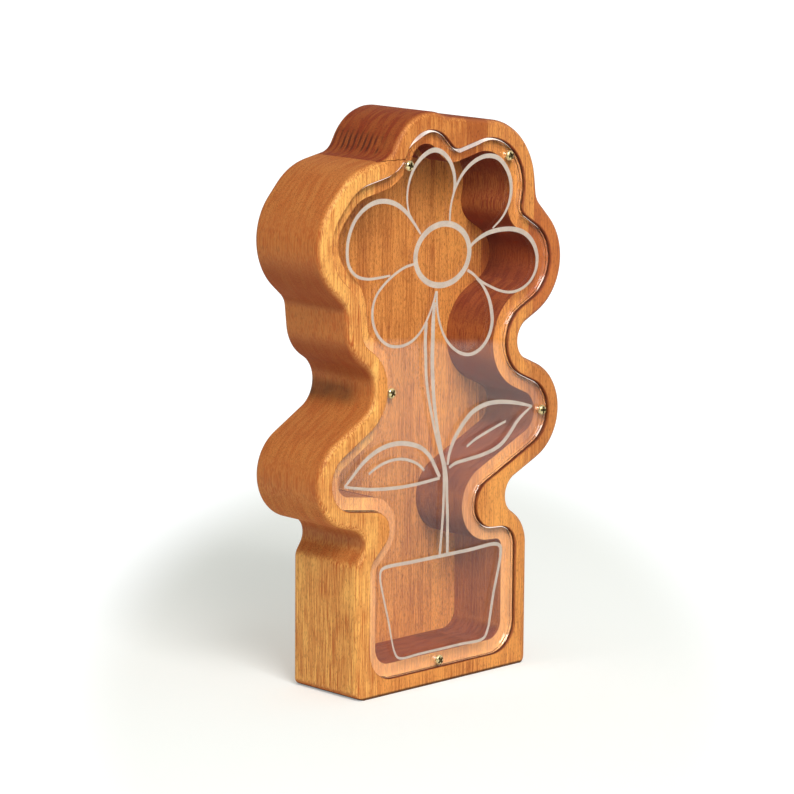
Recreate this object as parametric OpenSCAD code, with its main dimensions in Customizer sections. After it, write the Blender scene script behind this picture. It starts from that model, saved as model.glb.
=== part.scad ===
// Wooden money box in the shape of a potted flower, with a clear screwed-on front.
// It stands on Z = 0. The front faces -Y, and X = 0, Y = 0 is the middle of the pot's underside.
// A case of glued upright staves is shaped and hollowed as one board. The clear panel lies on a
// ledge inside the front rim and is held by five small screws. Coins drop in through the top.

/* [Case] */
// Width of the pot block at the bottom
pot_w = 101.5; // [96:0.5:112]
// Depth of the case from front to back
case_d = 40; // [30:1:60]
// Radius of the rounded front and back edges
edge_r = 3; // [0.5:0.25:3.5]
// Radius of the pot's two bottom corners, seen from the front
foot_r = 4; // [3.6:0.2:6]
// Height of the pot's right shoulder centre
shoulder_h = 53; // [50:0.5:56]
// Radius of the pot's right shoulder
shoulder_r = 17; // [14:0.5:19]
// Radius of the pot's left shoulder
left_shoulder_r = 7.2; // [6.6:0.1:8]

/* [Front opening] */
// Width of the wooden rim around the clear panel
rim_w = 7.5; // [6:0.25:9]
// Height of the rim under the clear panel
sill_h = 6.5; // [5:0.25:10]
// Radius of the panel's two bottom corners
window_r = 13.5; // [9:0.5:18]
// Width of the ledge that the panel lies on
ledge_w = 6; // [4:0.25:6]
// Thickness of the wooden back behind the hollow
back_t = 7.5; // [4:0.5:12]

/* [Clear panel] */
// Thickness of the clear panel
panel_t = 3; // [2:0.5:5]
// How far the panel's face lies below the rim
panel_sink = 1.5; // [0:0.25:3]
// Clearance between the panel's edge and the rim
panel_gap = 0.25; // [0.1:0.05:0.6]

/* [Coin slot] */
// Length of the coin slot
slot_l = 28; // [24:1:30]
// Width of the coin slot
slot_w = 5; // [4.5:0.1:7]
// Wood left between the slot and the dark stave's right glue line
slot_keep = 3.4; // [2:0.1:5]

/* [Screws] */
// Outer diameter of the thread
screw_d = 2.5; // [2:0.1:3]
// Length under the head
screw_l = 12; // [8:0.5:18]
// Diameter of the head
head_d = 4.4; // [3.8:0.1:5]
// Height of the head
head_h = 1.5; // [1:0.1:2]
// Width of one arm of the cross recess
recess_w = 0.6; // [0.4:0.1:0.8]
// Length of one arm of the cross recess, from tip to tip
recess_l = 2.6; // [1.8:0.1:3.2]
// Depth of the cross recess
recess_d = 0.8; // [0.4:0.1:0.9]
// Radial clearance of a screw in its pilot hole
thread_gap = 0.05; // [0.02:0.01:0.1]
// Radial clearance of a screw in the clear panel
panel_hole_gap = 0.2; // [0.1:0.05:0.4]
// Free depth below the tip of a screw
pilot_rest = 1.5; // [0.5:0.5:4]

/* [Glue lines] */
// Glue line between the left stave and the wide stave
seam_left = -39.5; // [-40:0.25:-30]
// Glue line between the wide stave and the narrow dark stave
seam_mid = 10.7; // [0:0.1:16]
// Width of the narrow dark stave
dark_w = 12.7; // [6:0.1:20]
// Right glue line, past the pot's right side
seam_beyond_pot = 0.85; // [0.5:0.05:4]

/* [Hidden] */
$fn = 48;

pot_x = pot_w / 2;
front_y = -case_d / 2;
back_y = case_d / 2;
panel_y = front_y + panel_sink;
ledge_y = panel_y + panel_t;
floor_y = back_y - back_t;
slack = 0.05;    // straight run kept between a hollow and the lobes beside it
over = 1;    // how far a cutter runs past the face that it opens
arc_step = 8;    // largest turn between two points of an outline, in degrees
edge_count = 3;    // steps in a rounded edge

// The outline is a belt laid round circles, anticlockwise as seen from the front. A circle is
// [across, height, radius, stands on the floor]. The belt runs outside a lobe, whose radius is
// positive, and inside a hollow, whose radius is negative.
right_shoulder = [pot_x - shoulder_r, shoulder_h, shoulder_r, 0];
right_leaf = [47.4, 109.9, 22.7, 0];
right_petal = [44.7, 175.9, 25.5, 0];
top_right_petal = [24, 208.4, 29.7, 0];
top_petal = [-10.4, 222.2, 21.7, 0];
waist_left = [-53.3, 130.7, -12, 0];
OUTER = [
    [foot_r - pot_x, foot_r, foot_r, 1],    // left foot of the pot
    [pot_x - foot_r, foot_r, foot_r, 1],    // right foot of the pot
    right_shoulder,
    [46.5, 75.2, -8.5, 0],                  // neck under the right leaf
    right_leaf,
    [53.2, 141.9, -8.8, 0],                 // waist over the right leaf
    right_petal,
    [63.3, 206.4, -9.1, 0],                 // dip between the right petals
    top_right_petal,
    [2.8, 252.7, -11.7, 0],                 // dip between the top petals
    top_petal,
    [-38, 234.1, -8.2, 0],                  // dip left of the top petal
    [-40.5, 196.3, 28.4, 0],                // upper side of the left petal
    [-46, 192.3, 27, 0],                    // tip of the left petal
    [-64.5, 162.6, -7.5, 0],                // dip under the left petal
    [-38.7, 156.4, 17.5, 0],                // lower left petal
    waist_left,
    [-52.5, 93.9, 20.2, 0],                 // left leaf
    [-53.9, 65.9, -7.2, 0],                 // neck under the left leaf
    [left_shoulder_r - pot_x, 55.5, left_shoulder_r, 0]    // left shoulder of the pot
];

// The opening follows the outline at the rim's width, except where the wood is left thicker:
// there the opening has a circle of its own.
inner_right_neck = [29.8, 73.4, -10.6, 0];
inner_right_dip = [50, 199.9, -5.1, 0];
inner_top_dip = [6.7, 232.3, -5, 0];
inner_left_neck = [-40.5, 70.9, -8.3, 0];
inner_shoulder_r = 9;    // radius of the opening's left shoulder
inner_shoulder = [rim_w + inner_shoulder_r - pot_x, shoulder_h, inner_shoulder_r, 0];
inner_foot_x = pot_x - rim_w - window_r;
inner_foot_z = sill_h + window_r;
LEFT_FOOT = 0;
RIGHT_FOOT = 1;
RIGHT_NECK = 3;
RIGHT_DIP = 7;
TOP_DIP = 9;
LEFT_NECK = 18;
LEFT_SHOULDER = 19;
OPENING = fitted([
    for (i = [0 : len(OUTER) - 1])
        i == LEFT_FOOT ? [-inner_foot_x, inner_foot_z, window_r, 0]
        : i == RIGHT_FOOT ? [inner_foot_x, inner_foot_z, window_r, 0]
        : i == RIGHT_NECK ? inner_right_neck
        : i == RIGHT_DIP ? inner_right_dip
        : i == TOP_DIP ? inner_top_dip
        : i == LEFT_NECK ? inner_left_neck
        : i == LEFT_SHOULDER ? inner_shoulder
        : grown(OUTER[i], -rim_w)
]);

// Screw places, each in the middle of the ledge: [across, height]
SCREWS = [
    beside(top_petal, 179),
    beside(top_right_petal, 45),
    beside(waist_left, 354),
    beside(right_leaf, 0),
    [-1.7, sill_h + ledge_w / 2]
];

// A circle whose edge has moved outwards by d
function grown(c, d) = [c.x, c.y, c.z + d, c[3]];

// The point in the middle of the ledge, at an angle round a circle of the outline
function beside(c, angle) =
    let (r = abs(c.z - rim_w - ledge_w / 2))
        [c.x + r * cos(angle), c.y + r * sin(angle)];

function distance(a, b) = norm([b.x - a.x, b.y - a.y]);

// The circles, with each hollow kept clear of the lobes beside it
function fitted(circles) =
    let (n = len(circles))
        [for (i = [0 : n - 1])
            let (c = circles[i], a = circles[(i + n - 1) % n], b = circles[(i + 1) % n])
                c.z > 0 ? c
                : [c.x, c.y, -min(-c.z, distance(a, c) - a.z - slack, distance(c, b) - b.z - slack), c[3]]];

// Direction, from a circle's centre, of the point where the belt leaves circle a for circle b
function leaving(a, b) =
    atan2(b.y - a.y, b.x - a.x) - acos(max(-1, min(1, (a.z - b.z) / distance(a, b))));

function full_turn(angle) = angle - 360 * floor(angle / 360);

// Points of the belt round the circles, moved outwards by d. Circles that stand on the floor
// keep the belt's lowest line where it is.
function belt(circles, d = 0) =
    let (n = len(circles))
        [for (i = [0 : n - 1])
            let (
                c = circles[i],
                first = leaving(circles[(i + n - 1) % n], c),
                last = leaving(c, circles[(i + 1) % n]),
                span = c.z > 0 ? full_turn(last - first) : -full_turn(first - last),
                steps = max(1, ceil(abs(span) / arc_step))
            )
                for (k = [0 : steps])
                    let (angle = first + span * k / steps)
                        [c.x + (c.z + d) * cos(angle), c.y + c[3] * d + (c.z + d) * sin(angle)]];

// A plate with the shape of a belt, between two depths
module plate(points, y_from, y_to)
    translate([0, y_to, 0])
        rotate([90, 0, 0])
            linear_extrude(height = y_to - y_from)
                polygon(points);

// Steps of a rounded edge, as [inset of the outline, depth from the face]
function edge_steps() =
    [for (k = [0 : edge_count])
        let (angle = 90 * k / edge_count)
            [edge_r * (1 - cos(angle)), edge_r * (1 - sin(angle))]];

// The coin slot, with round ends
module coin_slot() {
    slot_x = seam_mid + dark_w - slot_keep - slot_l / 2;
    reach = (slot_l - slot_w) / 2;
    bottom = top_petal.y - top_petal.z / 2;
    height = top_petal.y + top_petal.z + over - bottom;
    middle_y = (ledge_y + floor_y) / 2;
    for (side = [-1, 1])
        translate([slot_x + side * reach, middle_y, bottom])
            cylinder(h = height, d = slot_w);
    translate([slot_x - reach, middle_y - slot_w / 2, bottom])
        cube([2 * reach, slot_w, height]);
}

// A hole along the depth, at a screw's place
module hole(place, r, y_from, y_to)
    translate([place.x, y_from, place.y])
        rotate([-90, 0, 0])
            cylinder(h = y_to - y_from, r = r);

// Everything that is cut out of the board
module hollows() {
    plate(belt(OPENING), front_y - over, ledge_y);
    plate(belt(OPENING, -ledge_w), ledge_y - over, floor_y);
    coin_slot();
    for (place = SCREWS)
        hole(place, screw_d / 2 + thread_gap, ledge_y - over, panel_y + screw_l + pilot_rest);
}

seam_dark = seam_mid + dark_w;
seam_right = pot_x + seam_beyond_pot;
waist_z = (right_leaf.y + right_petal.y) / 2;
side_reach = max([for (c = OUTER) abs(c.x) + abs(c.z)]) + over;    // past the outline, to a side
top_reach = max([for (c = OUTER) c.y + abs(c.z)]) + over;    // past the outline, upwards

// One stave of the board, between two glue lines and two heights. Its front and back edges are
// rounded in fine steps.
module stave(x_from, x_to, z_from = -over, z_to = top_reach) {
    outer = fitted(OUTER);
    difference() {
        for (edge = edge_steps())
            translate([0, back_y - edge[1], 0])
                rotate([90, 0, 0])
                    linear_extrude(height = case_d - 2 * edge[1])
                        intersection() {
                            polygon(belt(outer, -edge[0]));
                            translate([x_from, z_from])
                                square([x_to - x_from, z_to - z_from]);
                        }
        hollows();
    }
}

module left_stave() color("burlywood") stave(-side_reach, seam_left);

module wide_stave() color("peru") stave(seam_left, seam_mid);

module dark_stave() color("sienna") stave(seam_mid, seam_dark);

module right_stave() color("burlywood") stave(seam_dark, seam_right);

module right_petal_stave() color("chocolate") stave(seam_right, side_reach, z_from = waist_z);

module right_leaf_stave() color("chocolate") stave(seam_right, side_reach, z_to = waist_z);

// The clear panel, with a round hole for each screw
module front_panel()
    color("lightcyan", 0.4)
        difference() {
            plate(belt(OPENING, -panel_gap), panel_y, ledge_y);
            for (place = SCREWS)
                hole(place, screw_d / 2 + panel_hole_gap, panel_y - over, ledge_y + over);
        }

// A wood screw along +Y, with its head's underside at Y = 0
module screw() {
    point_l = screw_d;
    shank_r = screw_d / 2;
    head_r = head_d / 2;
    difference() {
        rotate([-90, 0, 0])
            union() {
                cylinder(h = screw_l - point_l, r = shank_r);
                translate([0, 0, screw_l - point_l])
                    cylinder(h = point_l, r1 = shank_r, r2 = shank_r / 5);
                domed_head(head_r);
            }
        for (turn = [0, 90])
            rotate([0, turn, 0])
                translate([-recess_l / 2, -head_h - over, -recess_w / 2])
                    cube([recess_l, over + recess_d, recess_w]);
    }
}

// The head: a short rim under a slice of a ball, with its flat side at Z = 0 and its crown below
module domed_head(head_r) {
    rim_h = head_h / 4;
    crown_h = head_h - rim_h;
    ball_r = (head_r * head_r + crown_h * crown_h) / (2 * crown_h);
    translate([0, 0, -rim_h])
        cylinder(h = rim_h, r = head_r);
    intersection() {
        translate([0, 0, ball_r - head_h])
            sphere(r = ball_r);
        translate([0, 0, -head_h])
            cylinder(h = crown_h, r = head_r);
    }
}

// A screw in the place that its number gives
module placed_screw(number)
    color("gold")
        translate([SCREWS[number].x, panel_y, SCREWS[number].y])
            screw();

module screw_top_left() placed_screw(0);

module screw_top_right() placed_screw(1);

module screw_mid_left() placed_screw(2);

module screw_mid_right() placed_screw(3);

module screw_bottom() placed_screw(4);

left_stave();
wide_stave();
dark_stave();
right_stave();
right_petal_stave();
right_leaf_stave();
front_panel();
screw_top_left();
screw_top_right();
screw_mid_left();
screw_mid_right();
screw_bottom();
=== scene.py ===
"""Looks of a wooden money box: a potted flower with a clear, screwed-on front.

The case is six upright staves of oiled beech, cut from one pocketed board. A clear acrylic
panel with an engraved daisy lies in a rebate of its front, held by five small brass screws.
"""

import logging
import math
from dataclasses import dataclass
from enum import Enum, IntEnum
from typing import Sequence

import bmesh
import bpy
from mathutils import Matrix, Vector


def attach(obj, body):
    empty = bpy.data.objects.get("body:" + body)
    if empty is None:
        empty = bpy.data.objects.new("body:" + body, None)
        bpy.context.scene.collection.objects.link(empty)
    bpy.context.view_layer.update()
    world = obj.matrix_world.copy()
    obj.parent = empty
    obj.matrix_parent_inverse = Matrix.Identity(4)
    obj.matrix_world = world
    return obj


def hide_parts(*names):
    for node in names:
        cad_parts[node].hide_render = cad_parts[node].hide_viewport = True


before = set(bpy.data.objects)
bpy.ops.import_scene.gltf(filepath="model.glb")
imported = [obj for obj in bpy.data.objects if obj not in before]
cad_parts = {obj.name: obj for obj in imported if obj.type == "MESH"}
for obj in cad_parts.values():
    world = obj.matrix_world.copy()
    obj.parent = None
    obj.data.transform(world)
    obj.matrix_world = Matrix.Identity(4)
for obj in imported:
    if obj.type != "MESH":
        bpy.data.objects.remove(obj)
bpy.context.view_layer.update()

log = logging.getLogger("money_box")
logging.basicConfig(level=logging.INFO, format="%(name)s: %(message)s")

MM = 0.001
Point = tuple[float, float]
Place = tuple[float, float, float]
Colour = tuple[float, float, float]
Range = tuple[float, float]

WHITE: Colour = (1.0, 1.0, 1.0)
BLACK: Colour = (0.0, 0.0, 0.0)


# ---------------------------------------------------------------------------------------------
# Modelling tools
# ---------------------------------------------------------------------------------------------

def deselect_all() -> None:
    """Leaves nothing selected, so that an operator acts only on what is picked next."""
    if bpy.context.object and bpy.context.object.mode != "OBJECT":
        bpy.ops.object.mode_set(mode="OBJECT")
    bpy.ops.object.select_all(action="DESELECT")


def pick(obj: bpy.types.Object) -> None:
    """Makes an object the only selected one, and the active one.

    Args:
        obj: The object that the next operator acts on.
    """
    deselect_all()
    obj.select_set(True)
    bpy.context.view_layer.objects.active = obj


def key_of(place: Vector) -> tuple[int, int, int]:
    """A place rounded to a tenth of a micrometre, to find a vertex by."""
    return tuple(round(c * 1e7) for c in place)


def skin(name: str, rings: Sequence[Sequence[Vector]]) -> bpy.types.Object:
    """Lofts a closed solid through rings that have the same number of points.

    Args:
        name: Name of the new object.
        rings: Rings in order, each a list of places in metres.

    Returns:
        The object, with its place in its mesh and its faces outwards.
    """
    count = len(rings[0])
    deselect_all()
    bpy.ops.mesh.primitive_circle_add(vertices=count, radius=1.0, fill_type="NGON")
    obj = bpy.context.object
    obj.name = obj.data.name = name
    for vertex, place in zip(obj.data.vertices, rings[0]):
        vertex.co = place
    bpy.ops.object.mode_set(mode="EDIT")
    bpy.ops.mesh.select_all(action="SELECT")
    for before, after in zip(rings, rings[1:]):
        bpy.ops.mesh.extrude_region_move()
        step = {key_of(b): a for b, a in zip(before, after)}
        edit = bmesh.from_edit_mesh(obj.data)
        for vertex in edit.verts:
            if vertex.select:
                vertex.co = step[key_of(vertex.co)]
        bmesh.update_edit_mesh(obj.data)
    bpy.ops.mesh.select_all(action="SELECT")
    bpy.ops.mesh.normals_make_consistent(inside=False)
    bpy.ops.object.mode_set(mode="OBJECT")
    return obj


def bake_modifiers(obj: bpy.types.Object) -> None:
    """Applies every modifier of an object, in order."""
    pick(obj)
    for modifier in list(obj.modifiers):
        bpy.ops.object.modifier_apply(modifier=modifier.name)


def carve(obj: bpy.types.Object, tool: bpy.types.Object, operation: str = "DIFFERENCE") -> None:
    """Cuts an object with a tool, or keeps what they share, and removes the tool.

    Args:
        obj: The object to cut.
        tool: The cutter, which is used up.
        operation: DIFFERENCE cuts the tool away, INTERSECT keeps the shared part.
    """
    modifier = obj.modifiers.new("carve", "BOOLEAN")
    modifier.operation = operation
    modifier.solver = "EXACT"
    modifier.object = tool
    bake_modifiers(obj)
    bpy.data.objects.remove(tool, do_unlink=True)


def twin(obj: bpy.types.Object, name: str) -> bpy.types.Object:
    """Copies an object together with its mesh.

    Args:
        obj: The object to copy.
        name: Name of the copy and of its mesh.

    Returns:
        The copy, linked to the scene.
    """
    copy = obj.copy()
    copy.data = obj.data.copy()
    copy.name = copy.data.name = name
    bpy.context.collection.objects.link(copy)
    return copy


def soften(obj: bpy.types.Object, degrees: float = 30.0) -> None:
    """Shades an object smooth, apart from edges sharper than the angle."""
    pick(obj)
    bpy.ops.object.shade_smooth_by_angle(angle=math.radians(degrees))


def block(name: str, low: Place, high: Place) -> bpy.types.Object:
    """A box between two corners, in millimetres."""
    ring = [(low[0], low[1]), (high[0], low[1]), (high[0], high[1]), (low[0], high[1])]
    return skin(name, [[Vector((x, y, z)) * MM for x, y in ring] for z in (low[2], high[2])])


def turned(name: str, profile: Sequence[Point], centre: Point, y: float,
           sides: int = 48) -> bpy.types.Object:
    """A round solid along +Y.

    Args:
        name: Name of the new object.
        profile: Pairs of depth along Y and radius, in millimetres.
        centre: Across and up place of the axis, in millimetres.
        y: Place along Y that depth 0 stands for.
        sides: Points round the axis.

    Returns:
        The new object.
    """
    rings = []
    for depth, radius in profile:
        rings.append([
            Vector((centre[0] + radius * math.cos(2 * math.pi * i / sides), y + depth,
                    centre[1] + radius * math.sin(2 * math.pi * i / sides))) * MM
            for i in range(sides)])
    return skin(name, rings)


# ---------------------------------------------------------------------------------------------
# Outline
# ---------------------------------------------------------------------------------------------

@dataclass(frozen=True)
class Round:
    """A circle that the outline's belt runs round: outside a lobe, inside a hollow."""
    x: float
    z: float
    r: float
    stands: bool = False

    def grown(self, by: float) -> "Round":
        """The same circle with its edge moved outwards."""
        return Round(self.x, self.z, self.r + by, self.stands)

    def to(self, other: "Round") -> float:
        """Distance between the two centres."""
        return math.hypot(other.x - self.x, other.z - self.z)

    def leaving(self, other: "Round") -> float:
        """Direction in degrees of the point where the belt leaves this circle for the other."""
        ratio = max(-1.0, min(1.0, (self.r - other.r) / self.to(other)))
        return math.degrees(math.atan2(other.z - self.z, other.x - self.x) - math.acos(ratio))


@dataclass(frozen=True)
class Belt:
    """A closed outline laid round circles, anticlockwise as seen from the front, in mm."""
    rounds: tuple[Round, ...]
    slack: float = 0.05
    step: float = 4.0

    def fitted(self) -> "Belt":
        """Keeps each hollow clear of the lobes beside it.

        Returns:
            The belt round the circles that fit.
        """
        made = []
        for i, c in enumerate(self.rounds):
            a, b = self.rounds[i - 1], self.rounds[(i + 1) % len(self.rounds)]
            if c.r > 0:
                made.append(c)
            else:
                radius = min(-c.r, a.to(c) - a.r - self.slack, c.to(b) - b.r - self.slack)
                made.append(Round(c.x, c.z, -radius))
        return Belt(tuple(made), self.slack, self.step)

    def points(self, offset: float = 0.0) -> list[Point]:
        """Points of the belt. Circles that stand on the floor keep its lowest line.

        Args:
            offset: How far the belt is moved outwards.

        Returns:
            Across and up places, in order.
        """
        out: list[Point] = []
        count = len(self.rounds)
        for i, c in enumerate(self.rounds):
            first = self.rounds[i - 1].leaving(c)
            last = c.leaving(self.rounds[(i + 1) % count])
            span = (last - first) % 360 if c.r > 0 else -((first - last) % 360)
            steps = max(1, math.ceil(abs(span) / self.step))
            lift = offset if c.stands else 0.0
            for k in range(steps + 1):
                angle = math.radians(first + span * k / steps)
                out.append((c.x + (c.r + offset) * math.cos(angle),
                            c.z + lift + (c.r + offset) * math.sin(angle)))
        return out

    def ring(self, y: float, offset: float = 0.0) -> list[Vector]:
        """The belt at a depth y, in metres."""
        return [Vector((x, y, z)) * MM for x, z in self.points(offset)]


class Curve(IntEnum):
    """The curves of the outline, anticlockwise from the left foot: their places in the belt."""
    LEFT_FOOT = 0
    RIGHT_FOOT = 1
    RIGHT_SHOULDER = 2
    RIGHT_NECK = 3
    RIGHT_LEAF = 4
    RIGHT_WAIST = 5
    RIGHT_PETAL = 6
    RIGHT_NOTCH = 7
    UPPER_RIGHT_PETAL = 8
    DIP = 9
    UPPER_LEFT_PETAL = 10
    LEFT_NOTCH = 11
    LEFT_PETAL_TOP = 12
    LEFT_PETAL = 13
    LEFT_FOLD = 14
    LOWER_LEFT_PETAL = 15
    LEFT_WAIST = 16
    LEFT_LEAF = 17
    LEFT_NECK = 18
    LEFT_SHOULDER = 19


@dataclass(frozen=True)
class Board:
    """Sizes of the case in millimetres, the same as the construction's."""
    pot_w: float = 101.5
    depth: float = 40.0
    edge_r: float = 3.0
    foot_r: float = 4.0
    shoulder_z: float = 53.0
    shoulder_r: float = 17.0
    left_shoulder_z: float = 55.5
    left_shoulder_r: float = 7.2
    rim_w: float = 7.5
    sill_h: float = 6.5
    window_r: float = 13.5
    window_shoulder_r: float = 9.0
    ledge_w: float = 6.0
    back_t: float = 7.5
    panel_t: float = 3.0
    panel_sink: float = 1.5
    panel_gap: float = 0.25
    slot_l: float = 28.0
    slot_w: float = 5.0
    slot_keep: float = 3.4
    bottom_screw_x: float = -1.7
    seams: tuple[float, float, float, float] = (-39.5, 10.7, 23.4, 51.6)

    @property
    def front_y(self) -> float:
        """The front face."""
        return -self.depth / 2

    @property
    def panel_y(self) -> float:
        """The clear panel's front face."""
        return self.front_y + self.panel_sink

    @property
    def ledge_y(self) -> float:
        """The ledge that the clear panel lies on."""
        return self.panel_y + self.panel_t

    @property
    def floor_y(self) -> float:
        """The back wall of the pocket."""
        return self.depth / 2 - self.back_t

    @property
    def rounds(self) -> tuple[Round, ...]:
        """The circles that the case's outline is laid round, in the order of Curve."""
        half = self.pot_w / 2
        return (
            Round(self.foot_r - half, self.foot_r, self.foot_r, True),
            Round(half - self.foot_r, self.foot_r, self.foot_r, True),
            Round(half - self.shoulder_r, self.shoulder_z, self.shoulder_r),
            Round(46.5, 75.2, -8.5),
            Round(47.4, 109.9, 22.7),
            Round(53.2, 141.9, -8.8),
            Round(44.7, 175.9, 25.5),
            Round(63.3, 206.4, -9.1),
            Round(24, 208.4, 29.7),
            Round(2.8, 252.7, -11.7),
            Round(-10.4, 222.2, 21.7),
            Round(-38, 234.1, -8.2),
            Round(-40.5, 196.3, 28.4),
            Round(-46, 192.3, 27),
            Round(-64.5, 162.6, -7.5),
            Round(-38.7, 156.4, 17.5),
            Round(-53.3, 130.7, -12),
            Round(-52.5, 93.9, 20.2),
            Round(-53.9, 65.9, -7.2),
            Round(self.left_shoulder_r - half, self.left_shoulder_z, self.left_shoulder_r),
        )

    def outer(self) -> Belt:
        """The case's outline."""
        return Belt(self.rounds).fitted()

    def opening(self) -> Belt:
        """The outline of the window in the front.

        Returns:
            The belt at the rim's width inside the case's, with circles of its own where the
            wood is left thicker.
        """
        half = self.pot_w / 2
        inner_x = half - self.rim_w - self.window_r
        inner_z = self.sill_h + self.window_r
        own = {
            Curve.LEFT_FOOT: Round(-inner_x, inner_z, self.window_r),
            Curve.RIGHT_FOOT: Round(inner_x, inner_z, self.window_r),
            Curve.RIGHT_NECK: Round(29.8, 73.4, -10.6),
            Curve.RIGHT_NOTCH: Round(50, 199.9, -5.1),
            Curve.DIP: Round(6.7, 232.3, -5),
            Curve.LEFT_NECK: Round(-40.5, 70.9, -8.3),
            Curve.LEFT_SHOULDER: Round(self.rim_w + self.window_shoulder_r - half,
                                       self.shoulder_z, self.window_shoulder_r),
        }
        return Belt(tuple(own.get(i, c.grown(-self.rim_w))
                          for i, c in enumerate(self.rounds))).fitted()

    def beside(self, curve: Curve, degrees: float) -> Point:
        """The middle of the ledge at an angle round one curve of the outline.

        Args:
            curve: The curve.
            degrees: Direction from the curve's centre.

        Returns:
            The across and up place.
        """
        c = self.rounds[curve]
        reach = abs(c.r - (self.rim_w + self.ledge_w / 2))
        return (c.x + reach * math.cos(math.radians(degrees)),
                c.z + reach * math.sin(math.radians(degrees)))

    def screw_places(self) -> list[Point]:
        """Across and up places of the five screws, each in the middle of the ledge."""
        return [self.beside(Curve.UPPER_LEFT_PETAL, 179), self.beside(Curve.UPPER_RIGHT_PETAL, 45),
                self.beside(Curve.LEFT_WAIST, 354), self.beside(Curve.RIGHT_LEAF, 0),
                (self.bottom_screw_x, self.sill_h + self.ledge_w / 2)]


# ---------------------------------------------------------------------------------------------
# Material tools
# ---------------------------------------------------------------------------------------------

class Wiring:
    """Adds and joins the nodes of one tree."""

    def __init__(self, tree: bpy.types.NodeTree) -> None:
        """Starts on a tree."""
        self.tree = tree

    def put(self, value: object, socket: bpy.types.NodeSocket) -> None:
        """Links an output to a socket, or sets the socket's own value.

        Args:
            value: An output, a number, a colour, a vector, or None to leave the socket alone.
            socket: The input that takes it.
        """
        if isinstance(value, bpy.types.NodeSocket):
            self.tree.links.new(value, socket)
        elif value is not None:
            if isinstance(value, tuple) and len(value) == 3 and socket.type == "RGBA":
                value = (*value, 1.0)
            socket.default_value = value

    def node(self, kind: str, inputs: dict[object, object] | None = None,
             **settings: object) -> bpy.types.Node:
        """Adds a node.

        Args:
            kind: The node's type, without the word ShaderNode.
            inputs: Socket name or index to a value or an output.
            settings: Properties of the node itself.

        Returns:
            The node.
        """
        made = self.tree.nodes.new("ShaderNode" + kind)
        for name, value in settings.items():
            setattr(made, name, value)
        for name, value in (inputs or {}).items():
            self.put(value, made.inputs[name])
        return made

    def math(self, operation: str, *values: object) -> bpy.types.NodeSocket:
        """Adds a Math node.

        Args:
            operation: The node's operation. A star at its end clamps the result.
            values: Numbers or outputs, in the node's order.

        Returns:
            The result.
        """
        made = self.node("Math", operation=operation.rstrip("*"),
                         use_clamp=operation.endswith("*"))
        for socket, value in zip(made.inputs, values):
            self.put(value, socket)
        return made.outputs[0]

    def times(self, first: object, *others: object) -> bpy.types.NodeSocket:
        """The product of numbers or outputs, multiplied in order."""
        for other in others:
            first = self.math("MULTIPLY", first, other)
        return first

    def swing(self, noise: object, amount: object, onto: object) -> bpy.types.NodeSocket:
        """A value that a noise swings up and down by an amount."""
        return self.math("MULTIPLY_ADD", self.math("ADD", noise, -0.5), amount, onto)

    def mix(self, factor: object, a: object, b: object) -> bpy.types.NodeSocket:
        """Mixes two colours.

        Args:
            factor: The share of the second colour.
            a: The first colour.
            b: The second colour.

        Returns:
            The mixed colour.
        """
        made = self.node("Mix", data_type="RGBA")
        self.put(factor, made.inputs[0])
        self.put(a, made.inputs[6])
        self.put(b, made.inputs[7])
        return made.outputs[2]

    def span(self, value: object, low: float, high: float, to_low: float = 0.0,
             to_high: float = 1.0) -> bpy.types.NodeSocket:
        """A smooth step of a value from one range to another.

        Args:
            value: The value.
            low: Where the step starts.
            high: Where it ends.
            to_low: The result at its start.
            to_high: The result at its end.

        Returns:
            The stepped value.
        """
        made = self.node("MapRange", {0: value, 1: low, 2: high, 3: to_low, 4: to_high},
                         interpolation_type="SMOOTHSTEP")
        return made.outputs[0]

    def near(self, value: object, centre: float, fade: Range,
             most: float = 1.0) -> bpy.types.NodeSocket:
        """A mask that is highest where a value comes near a centre.

        Args:
            value: The value.
            centre: Where the mask is highest.
            fade: Distances from the centre where the mask starts and where it is full.
            most: The mask's highest value.

        Returns:
            The mask.
        """
        away = self.math("ABSOLUTE", self.math("ADD", value, -centre))
        return self.span(away, *fade, 0.0, most)

    def dot(self, place: object, along: Place) -> bpy.types.NodeSocket:
        """How far a place lies along a direction."""
        return self.node("VectorMath", {0: place, 1: along},
                         operation="DOT_PRODUCT").outputs["Value"]

    def noise(self, place: object, stretch: Place, detail: float = 2.0,
              distortion: float = 0.0, shift: object = None) -> bpy.types.NodeSocket:
        """Noise on a stretched place.

        Args:
            place: The place.
            stretch: Turns per metre along each axis.
            detail: Octaves of finer noise.
            distortion: How far the noise warps itself.
            shift: Moves the place first, so that two pieces differ.

        Returns:
            The noise, about 0.5.
        """
        if shift is not None:
            place = self.node("VectorMath", {0: place, 1: shift}, operation="ADD").outputs[0]
        scaled = self.node("VectorMath", {0: place, 1: stretch}, operation="MULTIPLY").outputs[0]
        made = self.node("TexNoise", {"Vector": scaled, "Scale": 1.0, "Detail": detail,
                                      "Distortion": distortion})
        return made.outputs[0]

    def join(self, share: object, a: bpy.types.Node, b: bpy.types.Node) -> bpy.types.Node:
        """Mixes two shaders.

        Args:
            share: The share of the second shader.
            a: The first shader's node.
            b: The second shader's node.

        Returns:
            The mix's node.
        """
        made = self.node("MixShader", {0: share})
        self.put(a.outputs[0], made.inputs[1])
        self.put(b.outputs[0], made.inputs[2])
        return made

    def axes(self, vector: object) -> list[bpy.types.NodeSocket]:
        """The three parts of a vector."""
        return list(self.node("SeparateXYZ", {0: vector}).outputs)


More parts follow.
